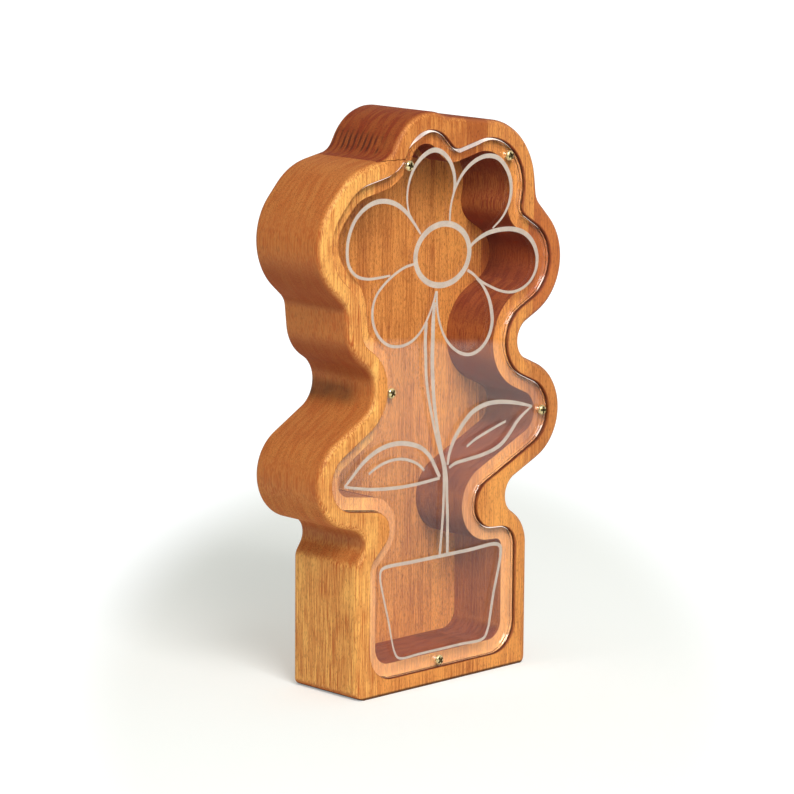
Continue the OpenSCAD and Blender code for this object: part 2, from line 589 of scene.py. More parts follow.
def shared_group(name: str, inputs: Sequence[tuple[str, str, object]],
                 outputs: Sequence[tuple[str, str]]) -> tuple[Wiring, dict, dict]:
    """Starts a shader node group with named sockets.

    Args:
        name: The group's name.
        inputs: Name, socket type and first value of each input.
        outputs: Name and socket type of each output.

    Returns:
        The group's wiring, its inputs by name and its output sockets by name.
    """
    tree = bpy.data.node_groups.new(name, "ShaderNodeTree")
    for label, kind, value in inputs:
        socket = tree.interface.new_socket(label, in_out="INPUT", socket_type="NodeSocket" + kind)
        socket.default_value = (*value, 1.0) if kind == "Color" else value
    for label, kind in outputs:
        tree.interface.new_socket(label, in_out="OUTPUT", socket_type="NodeSocket" + kind)
    start = tree.nodes.new("NodeGroupInput")
    end = tree.nodes.new("NodeGroupOutput")
    return (Wiring(tree), {s.name: s for s in start.outputs if s.name},
            {s.name: s for s in end.inputs if s.name})


def new_material(name: str) -> tuple[bpy.types.Material, Wiring, bpy.types.Node]:
    """Starts a material with a Principled shader.

    Args:
        name: The material's name.

    Returns:
        The material, its wiring and its shader.
    """
    material = bpy.data.materials.new(name)
    material.use_nodes = True
    wiring = Wiring(material.node_tree)
    return material, wiring, material.node_tree.nodes["Principled BSDF"]


def dress(obj: bpy.types.Object, material: bpy.types.Material, body: str) -> None:
    """Dresses a piece and hangs it on the body that carries it.

    Args:
        obj: The piece.
        material: Its material.
        body: The body that it rides on.
    """
    obj.data.materials.clear()
    obj.data.materials.append(material)
    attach(obj, body)


# ---------------------------------------------------------------------------------------------
# Finishes
# ---------------------------------------------------------------------------------------------

class Layer(Enum):
    """Layers of noise in the wood: turns per metre along X, Y and Z, detail and distortion."""
    BANDS = ((55, 55, 3.5), 2.0, 0.4)
    STREAKS = ((330, 330, 9), 3.0, 0.2)
    THREADS = ((1150, 1150, 27), 1.0, 0.15)
    FIBRES = ((2500, 2500, 75), 1.0, 0.0)
    MOTTLE = ((60, 60, 95), 3.0, 0.6)
    FLECKS = ((2200, 1500, 520), 1.0, 0.0)
    SPECKS = ((2300, 2300, 640), 0.0, 0.0)
    PORES = ((2600, 2600, 1400), 1.0, 0.0)
    RINGS = ((90, 480, 70), 3.0, 0.4)
    WANDER = ((45, 30, 45), 1.0, 0.0)
    PATCHES = ((90, 260, 110), 1.0, 0.0)


class BeechGrain:
    """Oiled beech with upright grain, as a node group that all the staves share.

    Its inputs are one stave's tones and strengths. Its outputs are colour, roughness and
    height. Places on the box are in metres: across it, in depth from front to back, and up.
    """
    pore_dark: Colour = (0.05, 0.013, 0.005)
    fleck_dark: Colour = (0.04, 0.012, 0.004)
    # Painted shade: colours of the darkened undersides, neck crease and left waist.
    painted_crease_shade: Colour = (0.24, 0.040, 0.011)
    painted_waist_shade: Colour = (0.085, 0.030, 0.010)
    rebate_shade: Colour = (0.055, 0.014, 0.005)
    # Painted light: the colour that pales the ledge under the panel.
    painted_ledge_light: Colour = (0.92, 0.50, 0.24)
    burnish: Colour = (0.085, 0.016, 0.005)
    # Painted contact shadow: the colour of the dark line along the bottom edge.
    painted_contact_shadow: Colour = (0.05, 0.015, 0.006)

    def __init__(self) -> None:
        """Starts the group, and reads where a point lies and which way it faces."""
        self.w, self.given, self.out = shared_group(
            "oiled_beech",
            [("Light", "Color", (0.5, 0.25, 0.1)), ("Deep", "Color", (0.3, 0.12, 0.04)),
             ("End Grain", "Color", (0.2, 0.06, 0.02)), ("Shift", "Vector", (0.0, 0.0, 0.0)),
             ("Flecks", "Float", 1.0), ("Streaks", "Float", 1.0), ("End Strength", "Float", 1.0),
             ("Side Depth", "Float", 0.6), ("Chatter", "Float", 0.0), ("Crown", "Float", 0.0)],
            [("Color", "Color"), ("Roughness", "Float"), ("Height", "Float")])
        w = self.w
        self.place = w.node("TexCoord").outputs["Object"]
        self.across, self.depth, self.up = w.axes(self.place)
        self.facing = w.axes(w.node("NewGeometry").outputs["Normal"])
        self.sideways, self.frontal, self.upright = (
            w.math("ABSOLUTE", part) for part in self.facing)
        self.towards_middle = w.times(self.facing[0], self.across)
        self.streaks = self.layer(Layer.STREAKS)
        self.threads = self.layer(Layer.THREADS)
        self.fibres = self.layer(Layer.FIBRES)
        self.mottle = self.layer(Layer.MOTTLE)

    def layer(self, layer: Layer) -> bpy.types.NodeSocket:
        """One layer of noise, moved by the stave's own shift."""
        return self.w.noise(self.place, *layer.value, self.given["Shift"])

    def long_grain(self) -> bpy.types.NodeSocket:
        """Colour of wood cut along its grain. Painted shade darkens the pocket's inner walls;
        on the flanks and towards the top it is partly painted shade, partly the wood's own tone.

        Returns:
            The colour, before its flecks.
        """
        w, given = self.w, self.given
        tone = w.times(w.math("ADD", self.layer(Layer.BANDS), -0.5), 1.5)
        tone = w.swing(self.streaks, 0.5, tone)
        tone = w.math("MULTIPLY_ADD", tone, given["Streaks"], 0.31)
        tone = w.swing(self.mottle, 0.7, tone)
        # Partly painted shade, partly the top's own darker tone: the wood darkens towards the top
        # of the box.
        tone = w.math("ADD", tone, w.span(self.up, 0.205, 0.238, 0.0, 0.20))
        tone = w.swing(self.threads, 0.95, tone)
        tone = w.swing(self.fibres, 2.1, tone)
        # Partly painted shade, partly the top's own darker tone: the crown deepens the top
        # further, in streaks.
        crown = w.times(w.span(self.up, 0.213, 0.226, 0.1, 1.0), given["Crown"])
        tone = w.math("ADD", tone, w.times(crown, w.span(self.streaks, 0.3, 0.6, 0.35, 1.1)))
        # The flanks take the deep tone: partly the side grain's own tone, partly painted shade.
        side = w.times(w.span(self.sideways, 0.45, 1.0), given["Side Depth"])
        side = w.math("MULTIPLY*", side, w.span(self.up, 0.04, 0.10))
        # Painted shade: the pocket's inner walls, which face the middle, take the deep tone.
        inner = w.span(self.towards_middle, 0.0, -0.012, 0.0, 0.8)
        for strand, amount in ((self.fibres, 2.2), (self.threads, 1.2)):
            deeper = w.times(w.math("ADD", strand, -0.5), side)
            tone = w.math("MULTIPLY_ADD", deeper, amount, tone)
        light = w.mix(inner, w.mix(side, given["Light"], given["Deep"]), given["Deep"])
        deep = w.mix(w.times(side, 0.3), given["Deep"], given["End Grain"])
        deep = w.mix(inner, deep, given["End Grain"])
        return w.mix(w.math("ADD*", tone, 0.0), light, deep)

    def flecked(self, colour: bpy.types.NodeSocket
                ) -> tuple[bpy.types.NodeSocket, bpy.types.NodeSocket]:
        """Adds beech's short dark flecks, which end grain doesn't show.

        Args:
            colour: The wood's colour without them.

        Returns:
            The flecked colour and the mask of the longer flecks.
        """
        w = self.w
        flat = w.times(w.span(self.upright, 0.75, 0.3), self.given["Flecks"])
        dash = w.math("MULTIPLY*", w.span(self.layer(Layer.FLECKS), 0.57, 0.66), flat)
        dot = w.math("MULTIPLY*", w.span(self.layer(Layer.SPECKS), 0.60, 0.74), flat)
        speck = w.mix(0.5, self.given["End Grain"], self.fleck_dark)
        colour = w.mix(w.times(dash, 0.38), colour, speck)
        return w.mix(w.times(dot, 0.30), colour, speck), dash

    def end_grained(self, colour: bpy.types.NodeSocket
                    ) -> tuple[bpy.types.NodeSocket, bpy.types.NodeSocket]:
        """Adds end grain where the flanks turn upwards or downwards.

        Args:
            colour: The colour of the long grain.

        Returns:
            The colour and the mask of the end grain.
        """
        w, given = self.w, self.given
        end = w.times(w.span(self.upright, 0.15, 0.62), w.span(self.frontal, 0.85, 0.25))
        end = w.math("MULTIPLY*", end, given["End Strength"])
        rings = w.span(self.layer(Layer.RINGS), 0.38, 0.62, 0.0, 0.5)
        pores = w.span(self.layer(Layer.PORES), 0.45, 0.7, 0.0, 0.45)
        ends = w.mix(pores, w.mix(rings, given["End Grain"], given["Deep"]), self.pore_dark)
        return w.mix(end, colour, ends), end

    def crease_shaded(self, colour: bpy.types.NodeSocket) -> bpy.types.NodeSocket:
        """Paints shade under the lobes, in the left neck above the pot and in the left waist.

        Args:
            colour: The wood's colour without this shade.

        Returns:
            The colour with the painted shade.
        """
        w = self.w
        # Painted shade on faces that turn down under the lobes, and in the crease of the left
        # neck.
        beneath = w.times(w.span(self.facing[2], -0.08, -0.55, 0.0, 0.6),
                          w.span(self.up, 0.085, 0.105))
        flank = w.times(w.span(self.across, -0.034, -0.039), w.span(self.frontal, 0.9, 0.6))
        collar = w.times(w.near(self.up, 0.0672, (0.0062, 0.001), 0.55), flank)
        colour = w.mix(w.math("MAXIMUM", beneath, collar), colour, self.painted_crease_shade)
        # Painted shade in the hollow of the left waist, patchy.
        waist = w.times(w.near(self.up, 0.1275, (0.0065, 0.001)), flank,
                        w.span(self.mottle, 0.25, 0.6, 0.45, 0.85),
                        w.span(self.depth, -0.015, 0.002))
        return w.mix(waist, colour, self.painted_waist_shade)

    def rebated(self, colour: bpy.types.NodeSocket) -> bpy.types.NodeSocket:
        """Paints shade on the rebate's narrow wall and paints light on the ledge under the panel.

        Args:
            colour: The wood's colour.

        Returns:
            The colour with both.
        """
        w = self.w
        under = w.times(w.span(self.facing[2], -0.1, -0.5), w.span(self.up, 0.185, 0.2))
        over = w.times(w.span(self.facing[2], 0.1, 0.5), w.span(self.up, 0.03, 0.02))
        within = w.math("MAXIMUM", w.math("MAXIMUM", under, over),
                        w.span(self.towards_middle, 0.0, -0.006))
        wall = w.times(w.span(self.frontal, 0.5, 0.2), w.span(self.depth, -0.0150, -0.0156),
                       w.span(self.depth, -0.0196, -0.0189))
        colour = w.mix(w.times(wall, within, 0.8), colour, self.rebate_shade)
        # Painted light: the ledge under the panel is paled, as if more light reached it.
        ledge = w.times(w.near(self.depth, -0.0155, (0.0003, 0.0001)),
                        w.span(self.frontal, 0.8, 0.95),
                        w.span(self.up, 0.11, 0.05, 0.0, 0.33))
        return w.mix(ledge, colour, self.painted_ledge_light)

    def chatter_marks(self) -> bpy.types.NodeSocket:
        """Ridges that a blunt cutter left across the left flank of the upper left petal.

        Returns:
            The mask of the ridges.
        """
        w = self.w
        wave = w.math("SINE", w.math("MULTIPLY_ADD", self.depth, 2050.0,
                                     w.times(self.layer(Layer.WANDER), 9.0)))
        marks = w.times(w.span(wave, -0.2, 0.9), self.given["Chatter"],
                        w.span(self.layer(Layer.PATCHES), 0.36, 0.52))
        height = w.times(w.span(self.up, 0.2262, 0.2290), w.span(self.up, 0.2375, 0.2320))
        patch = w.times(w.span(self.across, -0.016, -0.022), w.span(self.depth, -0.015, -0.010))
        return w.math("MULTIPLY*", w.times(marks, height, patch), w.span(self.upright, 0.1, 0.3))

    def build(self) -> bpy.types.NodeTree:
        """Lays one effect over the other and joins the outputs.

        Returns:
            The finished group.
        """
        w = self.w
        colour, dash = self.flecked(self.long_grain())
        colour, end = self.end_grained(colour)
        colour = self.rebated(self.crease_shaded(colour))
        marks = self.chatter_marks()
        colour = w.mix(marks, colour, self.burnish)
        # Painted contact shadow: a thin dark line along the bottom edge, where the box meets the
        # floor.
        colour = w.mix(w.span(self.up, 0.0006, 0.0014, 0.9, 0.0), colour, self.painted_contact_shadow)
        w.put(colour, self.out["Color"])
        rough = w.math("MULTIPLY_ADD", self.fibres, 0.2, 0.38)
        w.put(w.math("MULTIPLY_ADD*", end, 0.32, rough), self.out["Roughness"])
        height = w.math("MULTIPLY_ADD", dash, -0.8, w.times(self.fibres, 0.7))
        w.put(w.math("MULTIPLY_ADD", marks, -0.8, height), self.out["Height"])
        return w.tree


@dataclass(frozen=True)
class Beech:
    """One stave's tone of oiled beech."""
    name: str
    light: Colour
    deep: Colour
    end: Colour
    shift: Place
    flecks: float = 1.0
    streaks: float = 1.0
    side: float = 0.6
    chatter: float = 0.0
    crown: float = 0.0
    sheen: float = 0.22
    relief: float = 0.0002

    def material(self, grain: bpy.types.NodeTree) -> bpy.types.Material:
        """Builds the tone on the shared grain.

        Args:
            grain: The shared node group.

        Returns:
            The material.
        """
        material, w, shader = new_material(self.name)
        wood = w.node("Group", node_tree=grain)
        for label, value in (("Light", self.light), ("Deep", self.deep), ("End Grain", self.end),
                             ("Shift", self.shift), ("Flecks", self.flecks),
                             ("Streaks", self.streaks), ("Side Depth", self.side),
                             ("Chatter", self.chatter), ("Crown", self.crown)):
            w.put(value, wood.inputs[label])
        w.put(wood.outputs["Color"], shader.inputs["Base Color"])
        w.put(wood.outputs["Roughness"], shader.inputs["Roughness"])
        bump = w.node("Bump", {"Strength": 0.25, "Distance": self.relief,
                               "Height": wood.outputs["Height"]})
        w.put(bump.outputs[0], shader.inputs["Normal"])
        shader.inputs["Specular IOR Level"].default_value = self.sheen
        return material


@dataclass(frozen=True)
class ClearSheet:
    """Clear acrylic with the slightest haze and a painted highlight glowing on its edges."""
    tint: Colour = (0.99, 0.975, 0.96)
    # Painted highlight: the colour that the edges glow in.
    painted_glint_colour: Colour = (1.0, 0.95, 0.88)
    bend: float = 1.49
    haze: float = 0.008
    brightest: float = 0.95
    shadow: float = 0.08

    def painted_edge_glint(self, w: Wiring) -> bpy.types.NodeSocket:
        """Where a painted highlight glows on the eased edges: the upper left, and spots at the
        lower right.

        Args:
            w: The material's wiring.

        Returns:
            The mask, which holds on the sheet's outer skin alone.
        """
        geometry = w.node("NewGeometry")
        cut = w.axes(geometry.outputs["True Normal"])
        slope = w.math("ABSOLUTE", cut[1])
        edge = w.times(w.span(slope, 0.15, 0.35), w.span(slope, 0.997, 0.98))
        lit = w.span(w.math("MULTIPLY_ADD", cut[0], -0.75, cut[2]), 0.10, 0.32,
                     0.0, self.brightest)
        low = w.math("MULTIPLY_ADD", cut[2], -0.62, w.times(cut[0], 0.78))
        steep = w.math("SQRT", w.math("MULTIPLY_ADD", slope, w.times(slope, -1.0), 1.0))
        spot = w.span(w.math("DIVIDE", low, steep), 0.965, 0.99, 0.0, self.brightest)
        lit = w.math("MAXIMUM", lit, w.times(spot, w.span(slope, 0.8, 0.88)))
        outside = w.math("SUBTRACT", 1.0, geometry.outputs["Backfacing"])
        return w.times(outside, w.times(edge, lit))

    def material(self) -> bpy.types.Material:
        """Acrylic that lets the lamps light what lies behind it.

        Returns:
            The material.
        """
        material, w, shader = new_material("clear_sheet")
        shader.inputs["Base Color"].default_value = (*self.tint, 1.0)
        shader.inputs["Transmission Weight"].default_value = 1.0
        shader.inputs["IOR"].default_value = self.bend
        cloud = w.noise(w.node("TexCoord").outputs["Object"], (70, 70, 70), 3.0)
        w.put(w.span(cloud, 0.45, 0.8, 0.0, self.haze), shader.inputs["Roughness"])
        # Painted highlight: the edge glint is emitted light, not a reflection.
        w.put(w.mix(self.painted_edge_glint(w), BLACK, self.painted_glint_colour), shader.inputs["Emission Color"])
        shader.inputs["Emission Strength"].default_value = 1.0
        is_shadow = w.node("LightPath").outputs["Is Shadow Ray"]
        w.put(w.math("MULTIPLY_ADD", is_shadow, self.shadow - 1.0, 1.0), shader.inputs["Alpha"])
        return material


@dataclass(frozen=True)
class Frost:
    """The whitish bloom of an engraved line."""
    colour: Colour = (0.62, 0.52, 0.45)
    worn: float = 0.86

    def material(self) -> bpy.types.Material:
        """Fine frosting, a little see-through.

        Returns:
            The material.
        """
        material, w, shader = new_material("engraved_frost")
        place = w.node("TexCoord").outputs["Object"]
        grain = w.noise(place, (2400, 2400, 2400))
        cloud = w.noise(place, (160, 160, 160))
        tone = w.mix(w.span(grain, 0.3, 0.75), self.colour,
                     tuple(c * self.worn for c in self.colour))
        w.put(tone, shader.inputs["Base Color"])
        w.put(w.math("MULTIPLY_ADD", grain, 0.25, 0.5), shader.inputs["Roughness"])
        w.put(w.span(cloud, 0.3, 0.7, 0.72, 0.86), shader.inputs["Alpha"])
        bump = w.node("Bump", {"Strength": 0.3, "Distance": 0.00005, "Height": grain})
        w.put(bump.outputs[0], shader.inputs["Normal"])
        return material


@dataclass(frozen=True)
class Brass:
    """Bright brass that has dulled a little, with painted shade in the cross recess."""
    bright: Colour = (0.95, 0.80, 0.44)
    dull: Colour = (0.60, 0.45, 0.18)
    # Painted shade: the dark colour of the cross recess.
    recess: Colour = (0.07, 0.045, 0.02)

    def material(self) -> bpy.types.Material:
        """Brass with fine turning marks and a patchy bloom.

        Returns:
            The material.
        """
        material, w, shader = new_material("screw_brass")
        place = w.node("TexCoord").outputs["Object"]
        bloom = w.noise(place, (900, 900, 900), 3.0)
        marks = w.noise(place, (400, 9000, 400))
        steep = w.math("ABSOLUTE", w.axes(w.node("NewGeometry").outputs["True Normal"])[1])
        depth = w.axes(place)[1]
        walls = w.times(w.span(steep, 0.42, 0.36), w.span(depth, -0.0192, -0.01925))
        bottom = w.times(w.span(steep, 0.9, 0.97), w.span(depth, -0.0193, -0.0192))
        tone = w.mix(w.span(bloom, 0.4, 0.75), self.bright, self.dull)
        # Painted shade: the walls and bottom of the cross recess are coloured dark.
        tone = w.mix(w.math("MAXIMUM", walls, bottom), tone, self.recess)
        w.put(tone, shader.inputs["Base Color"])
        w.put(w.span(bloom, 0.3, 0.8, 0.18, 0.42), shader.inputs["Roughness"])
        bump = w.node("Bump", {"Strength": 0.15, "Distance": 0.00003, "Height": marks})
        w.put(bump.outputs[0], shader.inputs["Normal"])
        shader.inputs["Metallic"].default_value = 0.8
        return material


# ---------------------------------------------------------------------------------------------
# Case
# ---------------------------------------------------------------------------------------------

class Stave(Enum):
    """The case's staves: CAD node, record slot and finish."""
    LEFT = ("left_stave", "wood_left",
            Beech("beech_left", (0.88, 0.448, 0.116), (0.42, 0.085, 0.015),
                  (0.54, 0.180, 0.042), (0.11, 0.02, 0.0), side=0.75))
    WIDE = ("wide_stave", "wood_wide",
            Beech("beech_wide", (0.76, 0.308, 0.072), (0.41, 0.112, 0.023),
                  (0.25, 0.036, 0.008), (0.37, 0.19, 0.1), chatter=0.95, crown=0.25))
    DARK = ("dark_stave", "wood_dark",
            Beech("beech_dark", (0.76, 0.308, 0.074), (0.37, 0.096, 0.020),
                  (0.20, 0.032, 0.008), (0.29, 0.47, 0.35), crown=0.8))
    RIGHT = ("right_stave", "wood_right",
             Beech("beech_right", (0.79, 0.332, 0.078), (0.42, 0.122, 0.034),
                   (0.23, 0.044, 0.018), (0.71, 0.41, 0.3)))
    PETAL = ("right_petal_stave", "wood_petal",
             Beech("beech_petal", (0.55, 0.166, 0.037), (0.34, 0.080, 0.026),
                   (0.21, 0.042, 0.018), (0.83, 0.57, 0.4)))
    LEAF = ("right_leaf_stave", "wood_leaf",
            Beech("beech_leaf", (0.61, 0.222, 0.054), (0.33, 0.090, 0.020),
                  (0.20, 0.040, 0.010), (0.97, 0.63, 0.5)))

    @property
    def node(self) -> str:
        """The CAD node that the stave stands for."""
        return self.value[0]

    @property
    def slot(self) -> str:
        """The record's material slot."""
        return self.value[1]

    @property
    def tone(self) -> Beech:
        """The stave's finish."""
        return self.value[2]


@dataclass
class Case:
    """The pocketed board, in six staves."""
    board: Board
    edge_steps: int = 6
    rim_ease: float = 0.45
    ledge_ease: float = 0.25
    over: float = 1.0
    pilot_r: float = 1.3
    pilot_end: float = -5.0
    far_aside: float = 90.0
    far_deep: float = 30.0
    far_down: float = -5.0
    far_up: float = 260.0
    split_line: tuple[Point, ...] = (
        (-38.6, 225.7), (-36.0, 225.3), (-33.4, 225.6), (-31.2, 225.3), (-29.3, 225.6),
        (-27.6, 225.3), (-25.0, 225.5))
    split_deep: float = 3.2
    split_shallow: float = 1.6
    split_shallow_from: float = -35.0

    def rounded(self, y: float, sign: int, radius: float, offset: float) -> list[Point]:
        """A rounded arris, from the face inwards.

        Args:
            y: Depth of the face.
            sign: 1 where the wood lies behind the face, -1 where it lies before it.
            radius: Radius of the rounding.
            offset: Offset of the outline below the rounding.

        Returns:
            Depth and offset of each ring.
        """
        return [(y + sign * radius * (1 - math.cos(math.radians(a))),
                 offset + radius * (1 - math.sin(math.radians(a))))
                for a in (90 * k / self.edge_steps for k in range(self.edge_steps + 1))]

    def blank(self) -> bpy.types.Object:
        """The board cut to its outline, with its front and back edges rounded."""
        b, outer = self.board, self.board.outer()
        rings = [(y, -offset) for y, offset in self.rounded(b.front_y, 1, b.edge_r, 0.0)]
        rings += [(y, -offset) for y, offset in self.rounded(b.depth / 2, -1, b.edge_r, 0.0)][::-1]
        return skin("case", [outer.ring(y, offset) for y, offset in rings])

    def recess(self, y_from: float, y_to: float, offset: float, ease: float) -> bpy.types.Object:
        """A cutter with the window's shape, flared where it enters the wood.

        Args:
            y_from: Depth where it enters.
            y_to: Depth where it ends.
            offset: How far it is larger than the window.
            ease: Radius of the flare.

        Returns:
            The cutter.
        """
        opening = self.board.opening()
        flare = self.rounded(y_from, 1, ease, offset)
        rings = [(y_from - self.over, flare[0][1])] + flare + [(y_to, offset)]
        return skin("cutter", [opening.ring(y, o) for y, o in rings])

    def slot_cutter(self) -> bpy.types.Object:
        """A cutter for the coin slot, with round ends.

        Returns:
            The cutter, upright through the top of the case.
        """
        b = self.board
        centre_x = b.seams[2] - b.slot_keep - b.slot_l / 2
        middle_y = (b.ledge_y + b.floor_y) / 2
        reach, r = (b.slot_l - b.slot_w) / 2, b.slot_w / 2
        ring = []
        for side, start in ((1, -90), (-1, 90)):
            for k in range(13):
                angle = math.radians(start + 15 * k)
                ring.append((centre_x + side * reach + r * math.cos(angle),
                             middle_y + r * math.sin(angle)))
        top = b.rounds[Curve.UPPER_LEFT_PETAL]
        heights = (top.z - top.r / 2, top.z + top.r + self.over)
        return skin("cutter", [[Vector((x, y, z)) * MM for x, y in ring] for z in heights])

    def split_cutter(self) -> bpy.types.Object:
        """A cutter for the fine split that runs from the notch to the window.

        Returns:
            The cutter, a wedge along the split's line.
        """
        b = self.board
        face_y = b.front_y - self.over / 2
        rings = []
        for x, z in self.split_line:
            shallow = x >= self.split_shallow_from
            deep_y = b.front_y + (self.split_shallow if shallow else self.split_deep)
            rings.append([Vector((x, y, z + dz)) * MM for y, dz in
                          ((face_y, -0.2), (deep_y, -0.02), (deep_y, 0.02), (face_y, 0.2))])
        return skin("cutter", rings)

    def cut_board(self) -> bpy.types.Object:
        """Cuts the pocket, the slot, the pilot holes and the split into the blank.

        Returns:
            The whole board.
        """
        b = self.board
        case = self.blank()
        carve(case, self.recess(b.front_y, b.ledge_y, 0.0, self.rim_ease))
        carve(case, self.recess(b.ledge_y, b.floor_y, -b.ledge_w, self.ledge_ease))
        carve(case, self.slot_cutter())
        hole = [(0, self.pilot_r), (self.pilot_end - b.ledge_y + self.over, self.pilot_r)]
        for place in b.screw_places():
            carve(case, turned("cutter", hole, place, b.ledge_y - self.over, 32))
        carve(case, self.split_cutter())
        return case

    def build(self) -> None:
        """Saws the board along its glue lines and dresses the staves."""
        whole = self.cut_board()
        grain = BeechGrain().build()
        left, mid, dark, right = self.board.seams
        rounds = self.board.rounds
        waist = (rounds[Curve.RIGHT_LEAF].z + rounds[Curve.RIGHT_PETAL].z) / 2
        aside, deep, down, up = self.far_aside, self.far_deep, self.far_down, self.far_up
        spans = {
            Stave.LEFT: (-aside, left, down, up), Stave.WIDE: (left, mid, down, up),
            Stave.DARK: (mid, dark, down, up), Stave.RIGHT: (dark, right, down, up),
            Stave.PETAL: (right, aside, waist, up), Stave.LEAF: (right, aside, down, waist),
        }
        for stave, (x0, x1, z0, z1) in spans.items():
            piece = twin(whole, stave.node + "_wood")
            carve(piece, block("cutter", (x0, -deep, z0), (x1, deep, z1)), "INTERSECT")
            soften(piece)
            dress(piece, stave.tone.material(grain), "case")
            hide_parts(stave.node)
            log.info("%s: %d faces", piece.name, len(piece.data.polygons))
        bpy.data.objects.remove(whole, do_unlink=True)


# ---------------------------------------------------------------------------------------------
# Clear panel and its engraving
# ---------------------------------------------------------------------------------------------

@dataclass
class ClearPanel:
    """The acrylic sheet in the rebate."""
    board: Board
    arris: float = 0.1
    back_arris: float = 0.3
    hole_r: float = 1.45
    air: float = 0.05
    shading: float = 9.0
    left_extra: float = 0.3
    crest_extra: float = 1.7
    spot_extra: float = 0.9
    crest_from_z: float = 205.0
    crest_from_x: float = -30.0
    spot_from_z: float = 60.0

    def front_rings(self, opening: Belt, gap: float) -> list[list[Vector]]:
        """The front face's edge and the foot of its arris.

        The arris is eased: fine all round, more along the upper left, broad at the tops
        of the petals and in short spots at the lower right of the lobes. Its broad parts carry
        the painted edge highlight.

        Args:
            opening: The window's outline.
            gap: Offset of the sheet's edge from it.

        Returns:
            The two rings.
        """
        outer = opening.points(gap)
        inner = opening.points(gap - 1.0)
        face, foot = [], []
        for (x0, z0), (x1, z1) in zip(outer, inner):
            out = Vector((x0 - x1, z0 - z1)).normalized()
            left = max(0.0, out.x * -0.6 + out.y * 0.8)
            crest = spot = 0.0
            if z0 > self.crest_from_z:
                crest = max(0.0, out.x * -0.42 + out.y * 0.91) ** 8
                crest *= min(1.0, max(0.0, (x0 - self.crest_from_x) / 6))
            if z0 > self.spot_from_z:
                spot = max(0.0, out.x * 0.78 - out.y * 0.62) ** 60
            width = (self.arris + self.left_extra * left + self.crest_extra * crest
                     + self.spot_extra * spot)
            deep = self.arris + self.left_extra * max(left, spot)
            face.append(Vector((x0 - out.x * width, self.board.panel_y, z0 - out.y * width)) * MM)
            foot.append(Vector((x0, self.board.panel_y + deep, z0)) * MM)
        return [face, foot]

    def build(self) -> None:
        """Cuts the sheet, drills it and dresses it."""
        b, opening = self.board, self.board.opening()
        gap = -b.panel_gap
        rings = [(b.ledge_y - self.back_arris, gap), (b.ledge_y - self.air, gap - self.back_arris)]
        sheet = skin("clear_sheet", self.front_rings(opening, gap)
                     + [opening.ring(y, offset) for y, offset in rings])
        for place in b.screw_places():
            carve(sheet, turned("cutter", [(-1, self.hole_r), (b.panel_t + 1, self.hole_r)],
                                place, b.panel_y))
        soften(sheet, self.shading)
        dress(sheet, ClearSheet().material(), "panel")
        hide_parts("front_panel")
        log.info("%s: %d faces", sheet.name, len(sheet.data.polygons))


@dataclass(frozen=True)
class Stroke:
    """One engraved line: points across and up, and widths spread evenly along it, in mm."""
    name: str
    points: tuple[Point, ...]
    widths: tuple[float, ...]
    closed: bool = False

    def width_at(self, share: float) -> float:
        """The width at a share of the line's points."""
        spot = share * (len(self.widths) - 1)
        i = min(int(spot), len(self.widths) - 2)
        return self.widths[i] + (self.widths[i + 1] - self.widths[i]) * (spot - i)

    def neighbours(self, i: int, spans: int) -> list[Vector]:
        """The four points that shape one span of the line, with its open ends carried on.

        Args:
            i: The span's first point.
            spans: Number of spans.

        Returns:
            The point before the span, its two ends and the point after it.
        """
        own, count = self.points, len(self.points)
        if self.closed:
            return [Vector(own[(i + k) % count]) for k in (-1, 0, 1, 2)]
        ring = [Vector(own[max(0, min(count - 1, i + k))]) for k in (-1, 0, 1, 2)]
        if i == 0:
            ring[0] = 2 * ring[1] - ring[2]
        if i == spans - 1:
            ring[3] = 2 * ring[2] - ring[1]
        return ring

    def drawn(self, fine: int) -> list[Place]:
        """The line as close points, each across, up and half its width.

        Args:
            fine: Points between two of the line's own.

        Returns:
            Points on a centripetal spline through the line's own.
        """
        spans = len(self.points) if self.closed else len(self.points) - 1
        out = []
        for i in range(spans):
            ring = self.neighbours(i, spans)
            knots = [0.0]
            for a, b in zip(ring, ring[1:]):
                knots.append(knots[-1] + max((b - a).length, 1e-6) ** 0.5)
            for k in range(fine):
                t = knots[1] + (knots[2] - knots[1]) * k / fine
                place = self.spline_point(ring, knots, t)
                out.append((place.x, place.y, self.width_at((i + k / fine) / spans) / 2))
        if not self.closed:
            out.append((*self.points[-1], self.widths[-1] / 2))
        return out

    @staticmethod
    def spline_point(ring: Sequence[Vector], knots: Sequence[float], t: float) -> Vector:
        """A point of the spline through four places, between the middle two.

        Args:
            ring: The four places.
            knots: The spline's parameter at each.
            t: The parameter of the point.

        Returns:
            The point.
        """
        def between(a: Vector, b: Vector, start: int, stop: int) -> Vector:
            """The place between two, by where t lies between two knots."""
            low, high = knots[start], knots[stop]
            return ((high - t) * a + (t - low) * b) / (high - low)

        near = [between(ring[i], ring[i + 1], i, i + 1) for i in range(3)]
        mid = [between(near[i], near[i + 1], i, i + 2) for i in range(2)]
        return between(mid[0], mid[1], 1, 2)


